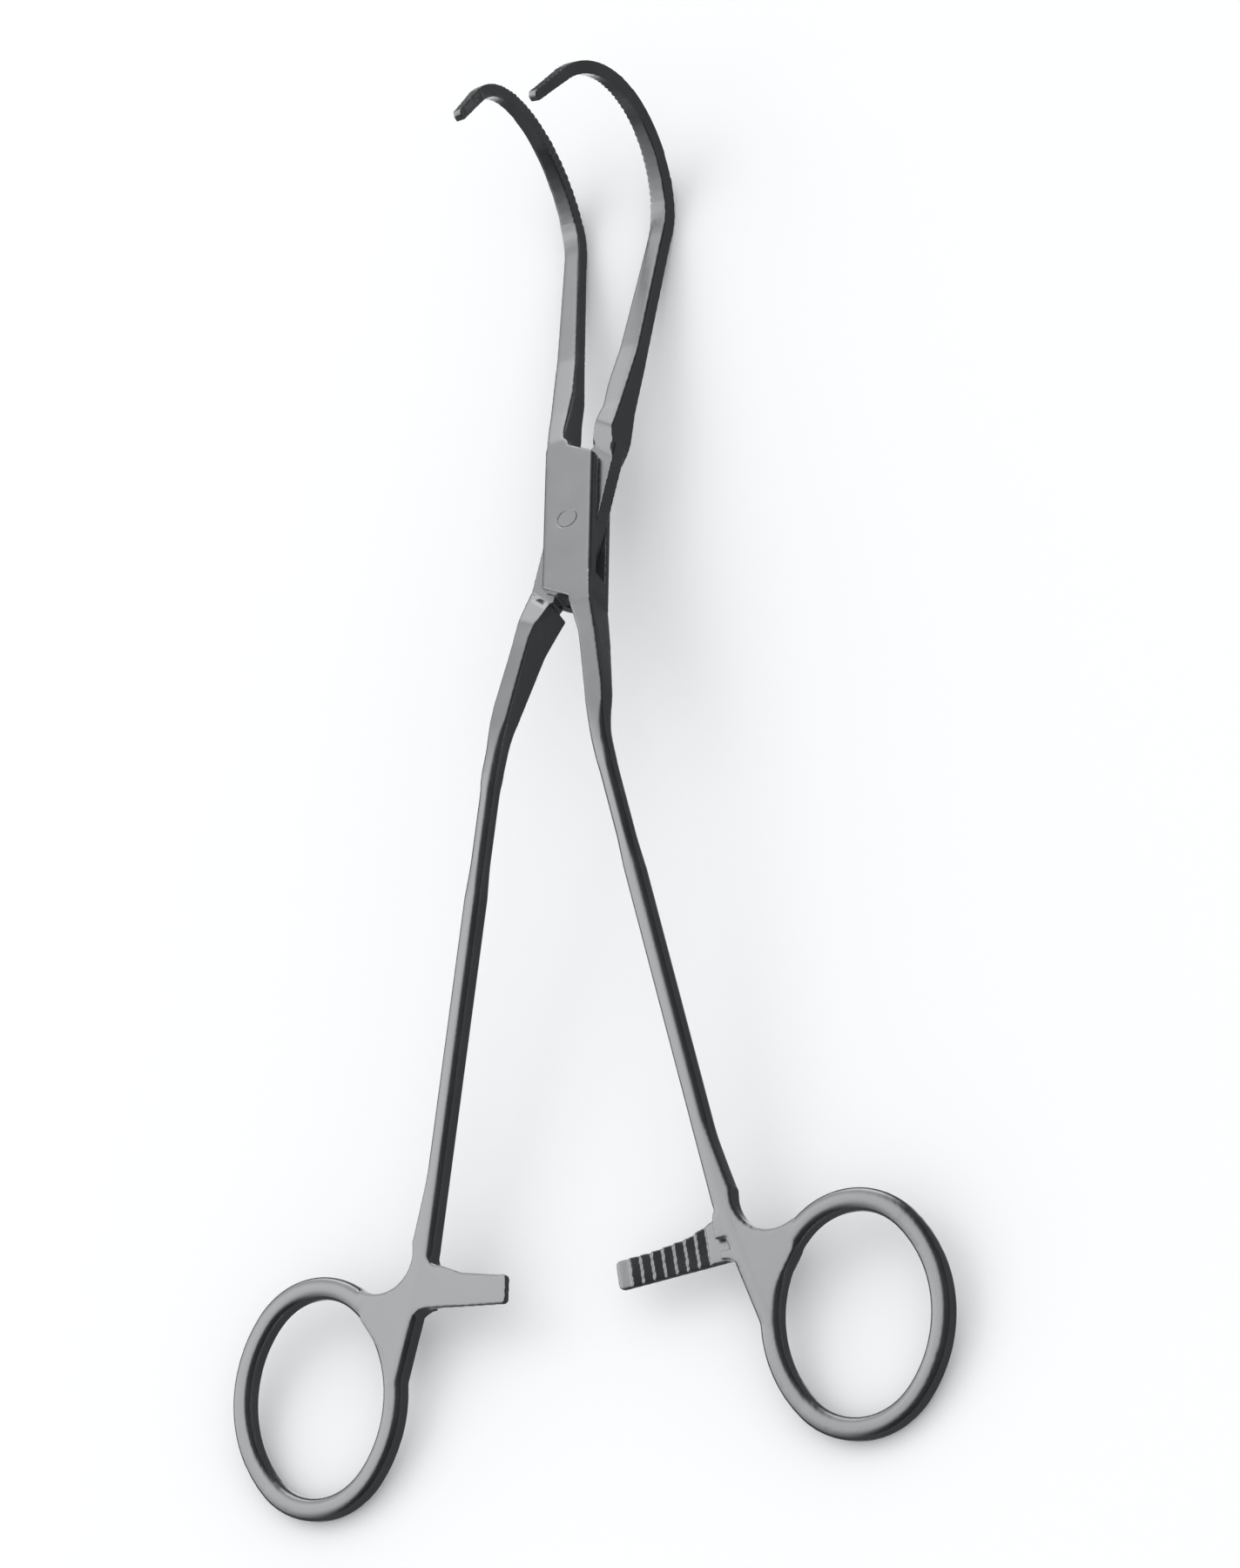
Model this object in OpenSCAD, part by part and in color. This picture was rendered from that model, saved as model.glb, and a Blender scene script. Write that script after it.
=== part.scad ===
// Curved ring-handled vascular clamp with a box lock, lying as it rests on a table, half open.
// Each half is drawn closed in the frame of the lock: X across the lock, Y towards the jaws and
// Z out of the lock's front face, with the pivot at the origin. It is then swung open by half of
// the opening and the whole clamp is tipped onto its finger rings and the heels of its jaws.

/* [Pose] */
// Angle between the two halves as the clamp lies
opening = 12.2; // [2:0.1:30]

/* [Lock] */
// Width of the lock over its rounded sides
lock_w = 7.2; // [6.8:0.1:8.4]
// Thickness of the lock from its front face to its back face
lock_t = 5.3; // [4.9:0.1:6.2]
// Radius of the lock's rounded long edges
lock_round = 0.7; // [0.5:0.05:1.2]
// Length of the slotted plates, from the pivot to the corner beside the jaw
lock_reach = 12.5; // [11.5:0.1:14]
// Slant of the plates' ends
lock_slant = 33; // [20:1:40]
// Thickness of the tenon that passes through the slot
tenon_t = 2.4; // [1.8:0.05:2.6]
// Gap on each flat side of the tenon
tenon_gap = 0.1; // [0.05:0.01:0.2]
// Gap between the plates' ends and the shoulders of the tenon
shoulder_gap = 0.2; // [0.15:0.05:0.4]
// Distance from the pivot to the walls that close the ends of the slot
slot_reach = 9; // [8.8:0.1:9.2]
// Direction of the slot's end walls
slot_slant = 42.5; // [38:0.5:46]
// Radius of the pivot pin
pin_r = 1.3; // [1:0.05:1.6]
// Running gap round the pivot pin in the tenon
pin_gap = 0.05; // [0.02:0.01:0.08]

/* [Jaws] */
// Gap between the closed jaws
jaw_gap = 0.2; // [0.1:0.05:0.5]
// Distance from the pivot to the start of the heel bend
heel_y = 46.4; // [42:0.1:55]
// Radius of the heel bend
heel_r = 8.8; // [7:0.1:12]
// Turn of the heel bend
heel_turn = 32.5; // [25:0.5:40]
// Radius of the bow of the jaw
bow_r = 15.9; // [13:0.1:18]
// Turn of the bow
bow_turn = 115; // [100:1:120]
// Length of the straight toe behind the bow
toe_len = 8.2; // [5:0.1:11]
// Width of a jaw at the heel
jaw_heel_w = 2.5; // [2.2:0.1:3.2]
// Width of a jaw at the tip
jaw_tip_w = 1.2; // [0.9:0.1:1.6]
// Thickness of a jaw at the heel
jaw_heel_t = 2.4; // [2:0.1:2.8]
// Thickness of a jaw at the tip
jaw_tip_t = 1.4; // [1:0.1:1.8]
// Distance from one jaw tooth to the next
jaw_pitch = 0.95; // [0.7:0.05:1.5]
// Depth of the jaw teeth
jaw_tooth = 0.2; // [0.1:0.02:0.3]

/* [Handles] */
// Distance from the pivot to the bend of the shanks
bend_y = 33.2; // [30:0.1:38]
// Radius of that bend
bend_r = 24; // [15:1:30]
// Angle by which the handles drop behind the lock
bend_turn = 19.8; // [12:0.1:24]
// Width of a shank along its slim stretch
shank_w = 2.5; // [2.2:0.05:2.9]
// Thickness of a shank along its slim stretch
shank_t = 2.8; // [2.5:0.1:3.2]
// Distance of a shank's middle from the centre line at the bend
shank_x = 3.8; // [3.4:0.05:4.2]
// Distance from the bend to the middle of the ratchet bars, along the handle
bar_s = 67.5; // [62:0.1:72]
// Distance of a shank's middle from the centre line just above the ratchet
bar_x = 11.2; // [10.6:0.1:11.8]

/* [Ratchet] */
// Reach of the back ratchet bar beyond the centre line of the closed clamp
back_over = 4.8; // [2:0.1:6]
// Reach of the front ratchet bar beyond that line
front_over = 1.5; // [2:0.1:6]
// Width of a ratchet bar
bar_w = 3.6; // [3:0.1:4.2]
// Rise of a bar's upper edge where it joins the shank
bar_flare = 2.3; // [1:0.1:3]
// Gap between the tooth crests of the two bars
bar_gap = 0.3; // [0.2:0.05:0.4]
// Distance from one ratchet tooth to the next
tooth_pitch = 1.5; // [1.2:0.05:1.8]
// Height of the ratchet teeth
tooth_h = 0.5; // [0.3:0.05:0.6]

/* [Finger rings] */
// Distance from the bend to the middle of a ring, along the handle
ring_s = 79.6; // [78:0.1:84]
// Distance of a ring's middle from the centre line
ring_x = 25.4; // [24.5:0.1:26.5]
// Width of the hole in a finger ring
ring_hole_w = 19.1; // [18.5:0.1:20]
// Length of the hole in a finger ring
ring_hole_l = 24.6; // [22.5:0.1:26]
// Radius of the ring's rounder ends, at the middle of the bow
ring_end_r = 9.3; // [8.5:0.1:10]
// Thickness of the bow of a finger ring
ring_d = 2.8; // [2.4:0.1:3.1]
// Rounding of the bow's edges
ring_round = 0.95; // [0.5:0.05:1.1]
// Lean of a ring's long axis
ring_lean = 4.8; // [0:0.1:7]

/* [Hidden] */
steel = [0.74, 0.75, 0.76];
far = 40;
// how deep jaw and shank start inside the lock
root_y = lock_reach - 3;
half_w = lock_w / 2;
shoulder_r = lock_reach + shoulder_gap;
slot_t = tenon_t + 2 * tenon_gap;
// middle of the jaw's height in front of the lock's middle plane
jaw_z = -0.4;
jaw_face = jaw_gap / 2;
heel_c = [heel_y, jaw_z + heel_r];
bow_c = [heel_y + (heel_r - bow_r) * sin(heel_turn), jaw_z + heel_r - (heel_r - bow_r) * cos(heel_turn)];
heading = heel_turn + bow_turn;
// the bow starts a little inside the heel bend and just under its surface
under = 0.02;
bow_out = bow_r + jaw_heel_t / 2 - under;
// thickness lost along the bow, and the shift and radius of its inner arc that give it
toe_t = jaw_tip_t + (jaw_heel_t - jaw_tip_t) * 0.3;
bow_lost = jaw_heel_t - toe_t;
bow_shift = bow_lost / 2 / sin(bow_turn / 2);
bow_in = bow_out - (jaw_heel_t + toe_t) / 2 + 2 * under;
mid_turn = heel_turn + bow_turn / 2;
bow_in_c = bow_c + bow_shift * [cos(mid_turn), sin(mid_turn)];
tip_z = bow_c[1] - (bow_r + 2) * cos(heading) + toe_len;

// Part of the plane between two directions from the origin, measured from -Z towards +Y
module wedge(a0, a1) {
    r = 3 * far;
    polygon([[0, 0], r * [sin(a0), -cos(a0)], r * [sin((a0 + a1) / 2), -cos((a0 + a1) / 2)],
             r * [sin(a1), -cos(a1)]]);
}

// Side view of a jaw: height over length, with the bow as two arcs that draw closer to the tip
module jaw_side() {
    lo = jaw_z - jaw_heel_t / 2;
    hi = jaw_z + jaw_heel_t / 2;
    polygon([[root_y, -lock_t / 2], [lock_reach + 0.8, -lock_t / 2], [lock_reach + 6, -1.95],
                 [28, lo - 0.1], [heel_y, lo], [heel_y, hi], [28, hi + 0.15],
                 [lock_reach + 6, 1.95], [lock_reach + 0.8, lock_t / 2], [root_y, lock_t / 2]]);
    intersection() {
        translate(heel_c)
            difference() {
                circle(heel_r + jaw_heel_t / 2, $fn = 72);
                circle(heel_r - jaw_heel_t / 2, $fn = 72);
            }
        translate(heel_c)
            wedge(0, heel_turn);
    }
    intersection() {
        difference() {
            translate(bow_c)
                circle(bow_out, $fn = 120);
            translate(bow_in_c)
                circle(bow_in, $fn = 120);
        }
        translate(bow_c)
            wedge(heel_turn - 1, heading);
    }
    translate(bow_c)
        rotate(heading)
            translate([0, -bow_out - under])
                polygon([[-0.4, 0], [0, 0], [toe_len, (toe_t - jaw_tip_t) * 0.7],
                         [toe_len + 0.35, toe_t / 2], [toe_len, toe_t - (toe_t - jaw_tip_t) * 0.3],
                         [0, toe_t], [-0.4, toe_t]]);
}

// Plan of a jaw: its width over its length as far as the heel, then straight on
module jaw_plan() {
    polygon([[jaw_face, root_y], [jaw_face, lock_reach + 0.3], [0.8, lock_reach + 1.2],
             [0.85, lock_reach + 2.8], [0.5, lock_reach + 5.5], [jaw_face, lock_reach + 9],
             [jaw_face, 70], [jaw_heel_w, 70], [jaw_heel_w, heel_y], [3.25, 26],
             [half_w - 0.25, lock_reach + 3.5], [half_w - 0.35, lock_reach + 0.3],
             [half_w - 0.35, root_y]]);
}

// Fine cross teeth and the groove between their two rows, on the contact face of a jaw
module jaw_grip() {
    side = jaw_tooth * sqrt(2);
    turn_step = jaw_pitch / bow_r * 180 / PI;
    bow_teeth = floor(bow_turn / turn_step);
    toe_teeth = floor((toe_len - 1.5) / jaw_pitch);
    translate([jaw_face, bow_c[0], bow_c[1]]) {
        for (i = [0:bow_teeth])
            rotate([heel_turn + i * turn_step, 0, 0])
                translate([0, 0, -bow_r - 2])
                    rotate([0, 0, 45])
                        translate([-side / 2, -side / 2, 0])
                            cube([side, side, 4]);
        for (i = [1:toe_teeth])
            rotate([heading, 0, 0])
                translate([0, i * jaw_pitch, -bow_r - 2])
                    rotate([0, 0, 45])
                        translate([-side / 2, -side / 2, 0])
                            cube([side, side, 4]);
    }
}

// One jaw on the +X side, narrowing towards its tip
module jaw() {
    lean = atan((jaw_heel_w - jaw_tip_w) / (tip_z - jaw_z));
    difference() {
        intersection() {
            rotate([90, 0, 90])
                linear_extrude(half_w + 1)
                    jaw_side();
            translate([0, 0, -far])
                linear_extrude(3 * far)
                    jaw_plan();
        }
        translate([jaw_heel_w, heel_y - 12, jaw_z])
            rotate([0, -lean, 0])
                translate([0, 0, jaw_heel_t])
                    cube([far, far, 2 * far]);
        jaw_grip();
    }
}

// Side view of a shank from the lock through its bend, and its plan
module shank_side() {
    slim_y = bend_y - bend_r * tan(bend_turn / 2);
    translate([-slim_y, -bend_r])
        intersection() {
            difference() {
                circle(bend_r + shank_t / 2, $fn = 180);
                circle(bend_r - shank_t / 2, $fn = 180);
            }
            polygon([[0, 0], [0, 2 * far], [-2 * far * tan(bend_turn), 2 * far]]);
        }
    polygon([[-root_y, lock_t / 2], [-lock_reach - 1.5, lock_t / 2], [-lock_reach - 6, shank_t / 2 + 0.7],
             [-slim_y, shank_t / 2], [-slim_y, -shank_t / 2], [-slim_y + 5, -shank_t / 2 - 0.5],
             [-lock_reach - 6, -shank_t / 2 - 1],
             [-lock_reach - 1.5, -lock_t / 2], [-root_y, -lock_t / 2]]);
}

module shank_plan() {
    end_y = bend_y + 8;
    end_x = shank_x + 0.9;
    polygon([[jaw_face + 0.2, -root_y], [jaw_face + 0.3, -lock_reach - 0.5], [1.5, -lock_reach - 5.5],
             [2.2, -27], [shank_x - shank_w / 2, -bend_y], [end_x - shank_w / 2, -end_y],
             [end_x + shank_w / 2, -end_y], [shank_x + shank_w / 2 + 0.05, -bend_y], [4.95, -27],
             [half_w + 0.45, -lock_reach - 5.5], [half_w - 0.2, -lock_reach - 0.3],
             [half_w - 0.3, -root_y]]);
}

// Rectangle with its corners rounded by arcs of radius r
module soft_square(w, t, r) {
    square([w, t - 2 * r], center = true);
    square([w - 2 * r, t], center = true);
    for (x = [-1, 1], y = [-1, 1])
        translate([x * (w / 2 - r), y * (t / 2 - r)])
            circle(r, $fn = 20);
}

// Straight rounded bar in the handle's plane, between two points [x, s]
module rounded_bar(p, q) {
    r = 0.85;
    run = q - p;
    translate([p[0], -p[1], 0])
        rotate([0, 0, atan2(run[0], run[1])])
            rotate([90, 0, 0])
                linear_extrude(norm(run))
                    soft_square(shank_w, shank_t, r);
}

ring_a = (ring_hole_w + ring_d) / 2;
ring_b = (ring_hole_l + ring_d) / 2;
ring_side_r = (ring_a ^ 2 + (ring_b - ring_end_r) ^ 2 - ring_end_r ^ 2) / 2 / (ring_a - ring_end_r);
ring_near_x = ring_x - ring_a;

// Finger ring of four tangent arcs
module finger_ring() {
    cx = ring_side_r - ring_a;
    cy = ring_b - ring_end_r;
    half_end = atan2(cx, cy);
    translate([ring_x, -ring_s, 0])
        rotate([0, 0, -ring_lean])
            for (side = [0, 180])
                rotate([0, 0, side]) {
                    translate([0, -cy, 0])
                        rotate([0, 0, -90 - half_end])
                            rotate_extrude(angle = 2 * half_end, $fn = 60)
                                translate([ring_end_r, 0])
                                    soft_square(ring_d, ring_d, ring_round);
                    translate([-cx, 0, 0])
                        rotate([0, 0, half_end - 91])
                            rotate_extrude(angle = 182 - 2 * half_end, $fn = 72)
                                translate([ring_side_r, 0])
                                    soft_square(ring_d - 2 * under, ring_d - 2 * under, ring_round - under);
                }
}

// Fillets and web between shank, ratchet bar and finger ring
module web() {
    edge_x = bar_x + 0.25 - shank_w / 2;
    top_s = bar_s - bar_w / 2;
    low_s = bar_s + bar_w / 2;
    low_r = 2.4;
    valley_r = 4.9;
    valley = [ring_near_x + 2.7, -ring_s + 17.3];
    translate([0, 0, under - shank_t / 2])
        linear_extrude(shank_t - 2 * under) {
            polygon([[edge_x - 0.9, -top_s - 1], [edge_x - 0.9, -top_s + bar_flare - 0.4],
                     [edge_x + 0.1, -top_s + bar_flare + 1.2], [edge_x + 1.5, -top_s - 1]]);
            difference() {
                polygon([[edge_x - 0.5, -low_s + 1], [edge_x - 0.5, -low_s - low_r],
                         [edge_x + 2.6, -low_s - low_r], [edge_x + 2.6, -low_s + 1]]);
                translate([edge_x - 0.5, -low_s - low_r])
                    circle(low_r, $fn = 48);
            }
            difference() {
                polygon([[bar_x - 0.8, -ring_s + 27.5], valley + [-valley_r + 0.05, 1.5], valley,
                         valley + [2.5, -4.3], valley + [2.2, -8], [ring_near_x, -ring_s + 3],
                         [ring_near_x - 3, -ring_s + 11]]);
                translate(valley)
                    circle(valley_r, $fn = 72);
            }
        }
}

// Plan of a ratchet bar with its two free corners rounded
module bar_plan(bar_over) {
    r = 0.6;
    top = bar_w / 2 - bar_s;
    polygon([[0, top - 0.5], [0, top], [bar_x * 0.45, top + bar_flare * 0.22],
             [bar_x - shank_w * 0.4, top + bar_flare], [bar_x + 0.4, top - 0.5]]);
    translate([r - bar_over, -bar_s - bar_w / 2])
        square([bar_over + bar_x + 0.6 - r, bar_w]);
    translate([-bar_over, r - bar_s - bar_w / 2])
        square([2 * r, bar_w - 2 * r]);
    for (side = [-1, 1])
        translate([r - bar_over, side * (bar_w / 2 - r) - bar_s])
            circle(r, $fn = 32);
}

// Ratchet bar at the back of the handle, with its teeth towards +Z
module ratchet_bar(bar_over) {
    back = under / 2 - shank_t / 2;
    crest = -bar_gap / 2;
    first = 0.5 - bar_over;
    count = floor((bar_x - 3 - first) / tooth_pitch);
    intersection() {
        translate([0, bar_w / 2 - bar_s + bar_flare + 0.5, 0])
            rotate([90, 0, 0])
                linear_extrude(bar_w + bar_flare + 1)
                    polygon(concat(
                        [[-bar_over - 1, back], [bar_x + 1, back], [bar_x + 1, crest]],
                        [for (i = [count:-1:1], dx = [0, 1]) let (x = first + i * tooth_pitch)
                            [x - 0.15 * dx, crest - tooth_h * dx]],
                        [[first, crest - tooth_h + 0.12], [-bar_over - 1, crest - tooth_h + 0.12]]));
        translate([0, 0, -far])
            linear_extrude(2 * far)
                bar_plan(bar_over);
    }
}

// Shank, finger ring and ratchet bar on the +X side; the bar lies behind or in front
module handle(bar_in_front) {
    knee = [bar_x - 0.6, bar_s - 5];
    intersection() {
        rotate([90, 0, 90])
            linear_extrude(half_w + 3)
                shank_side();
        translate([0, 0, -far])
            linear_extrude(2 * far)
                shank_plan();
    }
    translate([0, -bend_y, 0])
        rotate([bend_turn, 0, 0]) {
            rounded_bar([shank_x + 0.4, 3.6], knee);
            rounded_bar(knee + [-0.03, -0.3], [ring_near_x + 0.15, ring_s - 1]);
            finger_ring();
            web();
            mirror([0, 0, bar_in_front ? 1 : 0])
                ratchet_bar(bar_in_front ? front_over : back_over);
        }
}

// Rounded bar of the lock, from one plate end to the other
module lock_bar() {
    rotate([90, 0, 0])
        translate([0, 0, -lock_reach])
            linear_extrude(2 * lock_reach)
                soft_square(lock_w, lock_t, lock_round);
}

// Everything past one end of the lock plates on the side of the other half
module plate_end() {
    translate([-0.5, lock_reach, -far])
        rotate([0, 0, -lock_slant])
            cube([far, far, 2 * far]);
}

// Half with the box: two plates, the jaw on -X and the shank on +X
module box_half_closed() {
    difference() {
        union() {
            difference() {
                lock_bar();
                plate_end();
                rotate([0, 0, 180])
                    plate_end();
            }
            mirror([1, 0, 0])
                jaw();
            handle(bar_in_front = false);
        }
        rotate([0, 0, slot_slant])
            cube([2 * far, 2 * slot_reach, slot_t], center = true);
        cylinder(r = pin_r, h = far, center = true, $fn = 64);
    }
}

// Half with the tenon: the jaw on +X and the shank on -X
module tenon_half_closed() {
    difference() {
        union() {
            lock_bar();
            jaw();
            mirror([1, 0, 0])
                handle(bar_in_front = true);
        }
        for (side = [-1, 1])
            translate([0, 0, side * (tenon_t / 2 + far / 2)])
                cylinder(r = shoulder_r, h = far, center = true, $fn = 96);
        for (turn = [0, 180])
            rotate([0, 0, turn + slot_slant])
                translate([-2, slot_reach - shoulder_gap, -far])
                    cube([lock_reach - 2.1, far, 2 * far]);
        for (turn = [0, 180])
            rotate([0, 0, turn])
                translate([-far - jaw_face, lock_reach - 1.5, -far])
                    cube([far, far, 2 * far]);
        cylinder(r = pin_r + pin_gap, h = far, center = true, $fn = 64);
    }
}

// Reach of the ring's rounded square section in a direction a degrees off its flat side
function section_reach(a) = (ring_d / 2 - ring_round) * (cos(a) + sin(a)) + ring_round;
ring_sole = section_reach(bend_turn - 10.8);
// Lowest point of a ring's middle line, as [y, z] in the lock's frame, when the clamp is tipped by t
function ring_low(t) =
    let (a = atan2(sin(opening / 2) * sin(t), sin(bend_turn) * cos(t) - cos(bend_turn) * cos(opening / 2) * sin(t)),
         x = ring_x - (ring_b - ring_end_r) * sin(ring_lean) + ring_end_r * sin(a),
         s = ring_s + (ring_b - ring_end_r) * cos(ring_lean) + ring_end_r * cos(a))
    [x * sin(opening / 2) - (bend_y + s * cos(bend_turn)) * cos(opening / 2), -s * sin(bend_turn)];
heel_mid = [heel_c[0] * cos(opening / 2), heel_c[1]];
function tip_from(low) =
    let (d = heel_mid - low)
    atan2(d[1], d[0]) - asin((heel_r + jaw_heel_t / 2 - ring_sole) / norm(d));
// Tip of the whole clamp, at which rings and heels touch the table together, and its lift
rest_tip = tip_from(ring_low(tip_from(ring_low(10))));
low_end = ring_low(rest_tip);
rest_lift = low_end[0] * sin(rest_tip) - low_end[1] * cos(rest_tip) + ring_sole;

// Farthest reach of the bows towards +Y and of the rings towards -Y, halved to centre the clamp
half_open = opening / 2;
bow_reach = (bow_c[0] * cos(half_open) - jaw_face * sin(half_open)) * cos(rest_tip) + bow_c[1] * sin(rest_tip)
    + bow_out * norm([cos(half_open) * cos(rest_tip), sin(rest_tip)]);
ring_turn = atan2(-sin(half_open) * cos(rest_tip),
    cos(bend_turn) * cos(half_open) * cos(rest_tip) + sin(bend_turn) * sin(rest_tip));
ring_end_x = ring_x - (ring_b - ring_end_r) * sin(ring_lean) + ring_end_r * sin(ring_turn);
ring_end_s = ring_s + (ring_b - ring_end_r) * cos(ring_lean) + ring_end_r * cos(ring_turn);
ring_reach = (ring_end_x * sin(half_open) - (bend_y + ring_end_s * cos(bend_turn)) * cos(half_open)) * cos(rest_tip)
    - ring_end_s * sin(bend_turn) * sin(rest_tip)
    - section_reach(bend_turn - 10.8);
rest_shift = -(bow_reach + ring_reach) / 2;

// Puts what is drawn in the lock's frame onto the table
module at_rest(swing_by) {
    translate([0, rest_shift, rest_lift])
        rotate([-rest_tip, 0, 0])
            rotate([0, 0, swing_by])
                children();
}

module box_half() {
    color(steel)
        at_rest(opening / 2)
            box_half_closed();
}

module tenon_half() {
    color(steel)
        at_rest(-opening / 2)
            tenon_half_closed();
}

// Pin that is ground flush with both faces of the lock
module pivot_pin() {
    color(steel)
        at_rest(opening / 2)
            cylinder(r = pin_r, h = lock_t, center = true, $fn = 64);
}

box_half();
tenon_half();
pivot_pin();
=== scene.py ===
from math import radians

import bmesh
import bpy
import numpy as np
from mathutils import Matrix, Vector


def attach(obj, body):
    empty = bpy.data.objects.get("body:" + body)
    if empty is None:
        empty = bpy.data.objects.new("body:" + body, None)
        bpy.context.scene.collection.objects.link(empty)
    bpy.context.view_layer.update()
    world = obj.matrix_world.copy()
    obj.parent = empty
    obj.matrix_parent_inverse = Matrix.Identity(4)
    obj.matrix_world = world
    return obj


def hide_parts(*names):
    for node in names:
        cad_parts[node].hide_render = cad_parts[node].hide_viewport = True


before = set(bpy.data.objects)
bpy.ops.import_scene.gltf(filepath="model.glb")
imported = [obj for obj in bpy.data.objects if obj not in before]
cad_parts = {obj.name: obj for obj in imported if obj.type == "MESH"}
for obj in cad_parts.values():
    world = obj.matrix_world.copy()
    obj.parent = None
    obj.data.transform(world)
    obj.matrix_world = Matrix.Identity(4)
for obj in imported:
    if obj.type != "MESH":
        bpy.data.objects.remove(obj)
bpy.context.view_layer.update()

MM = 0.001

# The photographed view: camera axes in the frame, the camera's place, its lens (mm), the picture's shape.
VIEW_RIGHT = Vector((0.8803, 0.0200, -0.4741))
VIEW_UP = Vector((0.1796, 0.9108, 0.3718))
VIEW_BACK = Vector((0.4392, -0.4124, 0.7981))
CAMERA_STAND = Vector((345.5, -323.35, 624.69)) * MM
CAMERA_LEFT, CAMERA_UP = 0.385 * MM, 0.11 * MM
CAMERA_AT = CAMERA_STAND - CAMERA_LEFT * VIEW_RIGHT + CAMERA_UP * VIEW_UP
CAMERA_NEAR, CAMERA_FAR = 0.05, 20.0
SENSOR_HEIGHT = 36.0
PICTURE_SHAPE = 1424 / 1800
LENS = 143.29

# Steel: how fine its satin grain, its cloudy polish and its drawn hairlines are, and its cool tint.
GRAIN_SCALE, CLOUD_SCALE, HAIR_SCALE = 5200.0, 210.0, (9000.0, 260.0, 9000.0)
ROUGH_SPREAD, TONE_SPREAD = 0.035, 0.015
BUMP_DEPTH = 0.02 * MM
STEEL_TINT = (0.985, 1.0, 1.015, 1.0)

# Floor: its colour, its size, how far it lies under the clamp, and how bright the painted glow is that
# mirrored rays see on it.
FLOOR_WHITE = (0.95, 0.95, 0.95, 1.0)
FLOOR_SIZE, FLOOR_DROP = 6.0, 0.02 * MM
# The floor's glow is painted light: an emission that only mirrored rays see, and that the steel shows as a
# painted reflection.
GLOW_TINT = (0.98, 1.0, 1.02, 1.0)
GLOW_DARK, GLOW_BRIGHT = 0.055, 0.9
# The glow grows between these cosines of the angle between mirrored ray and photographed view.
GLOW_FROM, GLOW_TO = 0.87, 0.99

# Studio that only mirrored rays see: it fades along this direction, from full tone to nearly none.
STUDIO_SIDE = (0.95, -0.25, 0.1)
FADE_FROM, FADE_TO, FADED = -0.25, 0.12, 0.03
# Tone of the studio at the handle end of the room, at its jaw end, and at shares of the way between.
HANDLE_END_TONE, JAW_END_TONE = 0.05, 1.0
TONES_BETWEEN = ((0.3, 0.33), (0.45, 0.5), (0.57, 0.72), (0.7, 0.52), (0.83, 0.37))
STUDIO_TINT = (0.99, 1.0, 1.01, 1.0)

# Key lamp: where it hangs, what it points at, its width and its power.
KEY_AT, KEY_TOWARD = Vector((-0.55, 0.35, 0.75)), Vector((0, 0.02, 0))
KEY_WIDTH, KEY_POWER = 0.6, 0.9

# Size of the net that is laid over a forged half, and how it is rubbed smooth.
SKIN_GRID = 0.13 * MM
POLISH_STEPS = 36
BEND_STEPS = 160
RUB_STRENGTH = 0.5
MAX_TRIANGLES = 180000
# Rubbing weight by place along the clamp (mm): shanks and jaw stems most, rings less, and the lock
# and the toothed bows of the jaws least.
POLISH_ALONG = [(-66, 0.35), (-60, 1.0), (12, 1.0), (15.5, 0.6), (18, 0.3), (19.5, 0.06), (42, 0.06),
                (43.5, 0.3), (46.5, 0.6), (49, 0.9), (74, 0.9), (79, 0.12), (95, 0.12)]
# The ratchet bars lie between these places along the clamp, and within this distance of its middle.
RATCHET_FROM, RATCHET_TO, RATCHET_HALF_SPAN = -76.5, -64, 22.5
RATCHET_WEIGHT = 0.07
# The bend of the shanks, where a second rubbing evens out the meeting of bent and straight lengths.
BEND_ALONG = [(-19, 0), (-15, 1), (-1, 1), (3, 0)]

# From the closed, level clamp to the frame (mm): the tenon half turned open, tipped, and put at the pin.
TENON_TURN = Matrix.Rotation(radians(-10.8276), 3, "X") @ Matrix.Rotation(radians(-6.1), 3, "Z")
TENON_AT = np.array((0.0, 30.8568, 10.4167))
# Shoulder blocks of the tenon half in the closed clamp: rows of (x, y, half thickness).
JAW_SHOULDER = (((3.30, 10.32, 2.62), (1.44, 11.62, 2.62), (0.12, 12.42, 2.62)),
                ((3.25, 13.6, 2.62), (1.6, 13.6, 2.62), (0.12, 13.6, 2.62)),
                ((2.9, 17.6, 2.1), (1.8, 17.6, 2.1), (0.4, 17.6, 2.1)))
SHANK_SHOULDER = (((-3.34, -10.30, 2.62), (-1.6, -11.55, 2.62), (0.05, -12.4, 2.62)),
                  ((-3.38, -13.6, 2.62), (-1.9, -13.6, 2.62), (-0.35, -13.6, 2.62)),
                  ((-3.4, -17.6, 2.1), (-2.4, -17.6, 2.1), (-1.4, -17.6, 2.1)))
# The line where a shoulder starts, on the jaw side: a point on it, and its direction away from the pin.
SHOULDER_POINT = (3.4, 10.25)
SHOULDER_OUT = (0.546, 0.838)
# Only this stretch, by distance from the pin along the half, is taken down.
SHOULDER_FROM, SHOULDER_TO = 9, 19
# Run-out of each shoulder: half thickness at the line, and how much it rises over how long a way.
JAW_FOOT, JAW_RISE, JAW_RUN = 1.25, 1.4, 3.2
SHANK_FOOT, SHANK_RISE, SHANK_RUN = 1.85, 0.8, 5.0
NO_LIMIT = 9
# Outer corner of each shoulder: half thickness at the outer edge, its least half thickness,
# and how much it grows for each millimetre inwards and away from the pin.
EDGE_X = 3.6
CORNER_AT_EDGE, CORNER_LEAST = 1.3, 1.25
CORNER_INWARDS, CORNER_OUTWARDS = 0.9, 0.27


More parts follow.
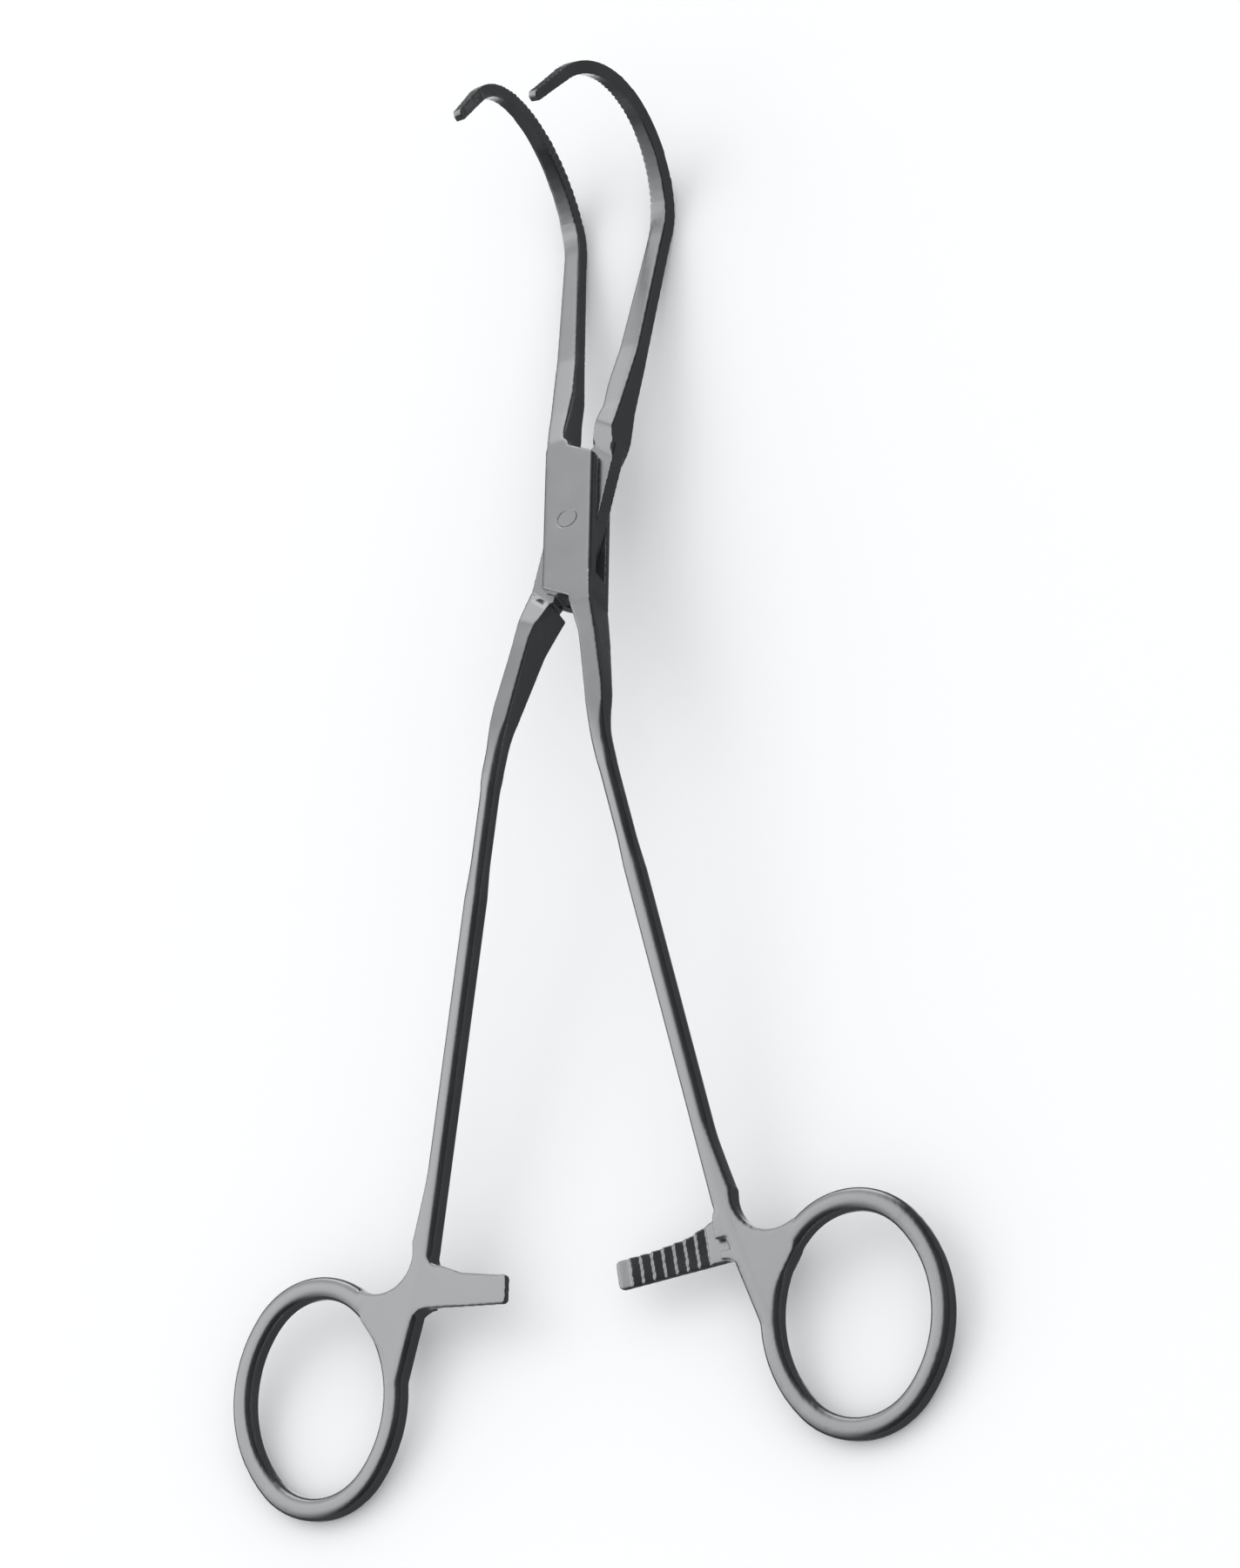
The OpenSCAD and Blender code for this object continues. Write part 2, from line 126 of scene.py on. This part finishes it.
def node_adder(tree):
    """A function that adds nodes to an emptied tree, sets them up and wires them."""
    tree.nodes.clear()

    def add(kind, inputs=(), **settings):
        node = tree.nodes.new(kind)
        for key, value in settings.items():
            setattr(node, key, value)
        for socket, value in dict(inputs).items():
            if isinstance(value, bpy.types.NodeSocket):
                tree.links.new(value, node.inputs[socket])
            else:
                node.inputs[socket].default_value = value
        return node

    return add


def new_material(name):
    """A material with an empty tree, and the function that adds nodes to it."""
    mat = bpy.data.materials.new(name)
    mat.use_nodes = True
    return mat, node_adder(mat.node_tree)


def steel(name, tone, rough, grain, scratches):
    """Stainless steel: a satin grain, cloudy polish and a few hairline scratches."""
    mat, add = new_material(name)
    where = add("ShaderNodeTexCoord").outputs["Object"]
    fine = add("ShaderNodeTexNoise", {"Vector": where, "Scale": GRAIN_SCALE,
                                      "Detail": 3.0, "Roughness": 0.6})
    cloud = add("ShaderNodeTexNoise", {"Vector": where, "Scale": CLOUD_SCALE,
                                       "Detail": 4.0, "Roughness": 0.55})
    drawn_out = add("ShaderNodeMapping", {"Vector": where, "Scale": HAIR_SCALE})
    hair = add("ShaderNodeTexNoise", {"Vector": drawn_out.outputs[0], "Scale": 1.0, "Detail": 2.0})

    def cloudy(middle, spread):
        return add("ShaderNodeMapRange", {"Value": cloud.outputs["Fac"], "From Min": 0.3, "From Max": 0.7,
                                          "To Min": middle - spread, "To Max": middle + spread}).outputs[0]

    roughness = cloudy(rough, ROUGH_SPREAD)
    grey = cloudy(tone, TONE_SPREAD)
    colour = add("ShaderNodeCombineColor", {"Red": grey, "Green": grey, "Blue": grey})
    cool = add("ShaderNodeMix", {0: 1.0, 6: colour.outputs[0], 7: STEEL_TINT},
               data_type="RGBA", blend_type="MULTIPLY")
    sandy = add("ShaderNodeBump", {"Strength": grain, "Distance": BUMP_DEPTH, "Height": fine.outputs["Fac"]})
    brushed = add("ShaderNodeBump", {"Strength": scratches, "Distance": BUMP_DEPTH,
                                     "Height": hair.outputs["Fac"], "Normal": sandy.outputs[0]})
    surface = add("ShaderNodeBsdfPrincipled", {"Base Color": cool.outputs[2], "Metallic": 1.0,
                                               "Roughness": roughness, "Normal": brushed.outputs[0]})
    add("ShaderNodeOutputMaterial", {"Surface": surface.outputs[0]})
    return mat


def along(value, points):
    """The amount at each of an array of places, in straight lines between (place, amount) points."""
    places, amounts = zip(*points)
    return np.interp(value, places, amounts)


def shoulder_block(rows):
    """An object in metres: a closed block between its rows of points, as deep in front as behind."""
    mesh = bmesh.new()
    corners = [[mesh.verts.new((TENON_TURN @ Vector((x, y, side * z)) + Vector(TENON_AT)) * MM)
                for x, y, z in row] for side in (1, -1) for row in rows]
    front, back = corners[:len(rows)], corners[len(rows):]
    last, end = len(rows) - 1, len(rows[0]) - 1
    for i in range(last):
        for j in range(end):
            mesh.faces.new((front[i][j], front[i + 1][j], front[i + 1][j + 1], front[i][j + 1]))
            mesh.faces.new((back[i][j], back[i][j + 1], back[i + 1][j + 1], back[i + 1][j]))
        for j in (0, end):
            mesh.faces.new((front[i][j], back[i][j], back[i + 1][j], front[i + 1][j]))
    for j in range(end):
        for i in (0, last):
            mesh.faces.new((front[i][j], front[i][j + 1], back[i][j + 1], back[i][j]))
    bmesh.ops.recalc_face_normals(mesh, faces=mesh.faces)
    block = bpy.data.objects.new("block", bpy.data.meshes.new("block"))
    mesh.to_mesh(block.data)
    mesh.free()
    bpy.context.scene.collection.objects.link(block)
    return block


def shoulder_foot(co):
    """Lets the front of both shoulders run out onto the tenon, and takes their outer corners down."""
    turn = np.array(TENON_TURN)
    local = (co / MM - TENON_AT) @ turn
    side = np.sign(local[:, 1])
    x, y, z = local[:, 0] * side, local[:, 1] * side, np.abs(local[:, 2])
    out = (x - SHOULDER_POINT[0]) * SHOULDER_OUT[0] + (y - SHOULDER_POINT[1]) * SHOULDER_OUT[1]
    step = np.clip(out / np.where(side > 0, JAW_RUN, SHANK_RUN), 0, 1)
    foot = np.where(side > 0, JAW_FOOT + JAW_RISE * step, SHANK_FOOT + SHANK_RISE * step)
    foot[local[:, 2] < 0] = NO_LIMIT
    corner = CORNER_AT_EDGE + CORNER_INWARDS * (EDGE_X - x) + CORNER_OUTWARDS * out
    limit = np.minimum(foot, np.maximum(corner, CORNER_LEAST))
    cut = (y > SHOULDER_FROM) & (y < SHOULDER_TO) & (z > limit)
    local[cut, 2] = np.sign(local[cut, 2]) * limit[cut]
    return (local @ turn.T + TENON_AT) * MM


def polish_weight(co):
    """How far each spot was rounded by hand."""
    x, y = np.abs(co[:, 0]) / MM, co[:, 1] / MM
    weight = along(y, POLISH_ALONG)
    ratchet = (y > RATCHET_FROM) & (y < RATCHET_TO) & (x < RATCHET_HALF_SPAN)
    weight[ratchet] = RATCHET_WEIGHT
    return weight


def rub(co, one, two, weight, steps):
    """Draws each point of a net towards the middle of its neighbours, as far as its weight lets it."""
    kept = np.flatnonzero(weight > 0)
    place = np.full(len(co), -1)
    place[kept] = np.arange(len(kept))
    one, two = place[one], place[two]
    inside = (one >= 0) & (two >= 0)
    one, two = one[inside], two[inside]
    near, pull, count = co[kept], RUB_STRENGTH * weight[kept, None], len(kept)
    neighbours = np.bincount(np.concatenate((one, two)), minlength=count)[:, None]
    for _ in range(steps):
        mean = np.stack([np.bincount(one, near[two, k], count) + np.bincount(two, near[one, k], count)
                         for k in range(3)], axis=1) / neighbours
        near += pull * (mean - near)
    co[kept] = near


def skin_over(obj, blocks):
    """A fine even net over a forged half and the blocks joined to it."""
    blank = bpy.data.objects.new("blank", obj.data.copy())
    bpy.context.scene.collection.objects.link(blank)
    added = [shoulder_block(rows) for rows in blocks]
    for block in added:
        join = blank.modifiers.new("join", "BOOLEAN")
        join.operation = "UNION"
        join.solver = "EXACT"
        join.object = block
    skin = blank.modifiers.new("skin", "REMESH")
    skin.mode = "VOXEL"
    skin.voxel_size = SKIN_GRID
    depsgraph = bpy.context.evaluated_depsgraph_get()
    mesh = bpy.data.meshes.new_from_object(blank.evaluated_get(depsgraph))
    for helper in (blank, *added):
        bpy.data.objects.remove(helper)
    return mesh


def polished(obj, name, body, blocks=()):
    """The forged half as it leaves the polisher: a fine even skin whose edges are rounded by hand."""
    mesh = skin_over(obj, blocks)
    co = np.empty(len(mesh.vertices) * 3)
    mesh.vertices.foreach_get("co", co)
    co = co.reshape(-1, 3)
    ends = np.empty(len(mesh.edges) * 2, dtype=np.int64)
    mesh.edges.foreach_get("vertices", ends)
    one, two = ends.reshape(-1, 2).T
    if blocks:
        co = shoulder_foot(co)
    rub(co, one, two, polish_weight(co), POLISH_STEPS)
    rub(co, one, two, along(co[:, 1] / MM, BEND_ALONG), BEND_STEPS)
    mesh.vertices.foreach_set("co", co.ravel())
    mesh.update()

    piece = bpy.data.objects.new(name, mesh)
    bpy.context.scene.collection.objects.link(piece)
    triangles = 2 * len(mesh.polygons)
    thin = piece.modifiers.new("fewer faces", "DECIMATE")
    thin.ratio = min(1.0, MAX_TRIANGLES / triangles)
    depsgraph = bpy.context.evaluated_depsgraph_get()
    piece.data = bpy.data.meshes.new_from_object(piece.evaluated_get(depsgraph))
    piece.modifiers.clear()
    for face in piece.data.polygons:
        face.use_smooth = True
    piece.data.materials.clear()
    piece.data.materials.append(satin)
    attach(piece, body)
    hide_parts(obj.name)


def pale_floor():
    """White floor that keeps its shadow.

    Mirrored rays see it as a painted glow: dark, except where they run on nearly in the direction of the
    photographed view.
    """
    mat, add = new_material("pale floor")
    path = add("ShaderNodeLightPath")
    white = add("ShaderNodeBsdfDiffuse", {"Color": FLOOR_WHITE})
    ray = add("ShaderNodeNewGeometry").outputs["Incoming"]
    ahead = add("ShaderNodeVectorMath", {0: ray, 1: tuple(VIEW_BACK)}, operation="DOT_PRODUCT")
    glow = add("ShaderNodeMapRange", {"Value": ahead.outputs["Value"],
                                      "From Min": GLOW_FROM, "From Max": GLOW_TO,
                                      "To Min": GLOW_DARK, "To Max": GLOW_BRIGHT},
               interpolation_type="SMOOTHSTEP")
    # Painted glow: an emission that only mirrored rays see, so the steel shows it as a painted reflection.
    mirrored = add("ShaderNodeEmission", {"Color": GLOW_TINT, "Strength": glow.outputs[0]})
    both = add("ShaderNodeMixShader", {0: path.outputs["Is Glossy Ray"], 1: white.outputs[0],
                                       2: mirrored.outputs[0]})
    add("ShaderNodeOutputMaterial", {"Surface": both.outputs[0]})
    bpy.ops.mesh.primitive_plane_add(size=FLOOR_SIZE, location=(0, 0, -FLOOR_DROP))
    floor = bpy.context.object
    floor.name = "floor"
    floor.data.materials.append(mat)


def studio_world():
    """White all round, but mirrored rays see a soft studio, bright at the left and dark at the right."""
    world = bpy.data.worlds.new("studio")
    bpy.context.scene.world = world
    world.use_nodes = True
    add = node_adder(world.node_tree)
    ray = add("ShaderNodeTexCoord").outputs["Generated"]
    side = add("ShaderNodeVectorMath", {0: ray, 1: STUDIO_SIDE}, operation="DOT_PRODUCT")
    fade = add("ShaderNodeMapRange", {"Value": side.outputs["Value"],
                                      "From Min": FADE_FROM, "From Max": FADE_TO,
                                      "To Min": 1.0, "To Max": FADED},
               interpolation_type="SMOOTHSTEP")
    parts = add("ShaderNodeSeparateXYZ", {"Vector": ray})
    depth = add("ShaderNodeMapRange", {"Value": parts.outputs["Y"], "From Min": -1.0, "From Max": 1.0,
                                       "To Min": 0.0, "To Max": 1.0})
    sky = add("ShaderNodeValToRGB", {"Fac": depth.outputs[0]})

    def grey(tone):
        return tone, tone, tone, 1.0

    stops = sky.color_ramp.elements
    stops[0].color = grey(HANDLE_END_TONE)
    stops[1].color = grey(JAW_END_TONE)
    for place, tone in TONES_BETWEEN:
        stops.new(place).color = grey(tone)
    level = add("ShaderNodeMath", {0: fade.outputs[0], 1: sky.outputs["Color"]}, operation="MULTIPLY")
    path = add("ShaderNodeLightPath")
    seen = add("ShaderNodeMix", {0: path.outputs["Is Glossy Ray"], 2: 1.0, 3: level.outputs[0]})
    back = add("ShaderNodeBackground", {"Color": STUDIO_TINT, "Strength": seen.outputs[0]})
    add("ShaderNodeOutputWorld", {"Surface": back.outputs[0]})


def key_softbox():
    """One soft lamp at the upper left for the shadow on the floor, which the steel doesn't mirror."""
    data = bpy.data.lights.new("key softbox", "AREA")
    data.energy = KEY_POWER
    data.shape = "RECTANGLE"
    data.size = KEY_WIDTH
    data.size_y = KEY_WIDTH
    key = bpy.data.objects.new("key softbox", data)
    key.location = KEY_AT
    key.rotation_euler = (KEY_TOWARD - KEY_AT).to_track_quat("-Z", "Y").to_euler()
    key.visible_glossy = False
    bpy.context.scene.collection.objects.link(key)


def photo_camera():
    """The camera at the photographed view, and the view transform."""
    scene = bpy.context.scene
    data = bpy.data.cameras.new("photo camera")
    data.sensor_fit = "VERTICAL"
    data.sensor_height = SENSOR_HEIGHT
    data.sensor_width = SENSOR_HEIGHT * PICTURE_SHAPE
    data.lens = LENS
    data.clip_start = CAMERA_NEAR
    data.clip_end = CAMERA_FAR
    camera = bpy.data.objects.new("photo camera", data)
    axes = Matrix((VIEW_RIGHT, VIEW_UP, VIEW_BACK)).transposed().to_4x4()
    camera.matrix_world = Matrix.Translation(CAMERA_AT) @ axes
    scene.collection.objects.link(camera)
    scene.camera = camera
    scene.view_settings.view_transform = "Standard"


satin = steel("satin stainless steel", 0.66, 0.25, 0.25, 0.3)
ground = steel("ground pin end", 0.65, 0.26, 0.25, 0.35)
for name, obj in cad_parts.items():
    obj.data.materials.clear()
    obj.data.materials.append(ground if name == "pivot_pin" else satin)

polished(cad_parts["box_half"], "box_half_polished", "box_side")
polished(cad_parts["tenon_half"], "tenon_half_polished", "tenon_side", (JAW_SHOULDER, SHANK_SHOULDER))

pale_floor()
studio_world()
key_softbox()
photo_camera()
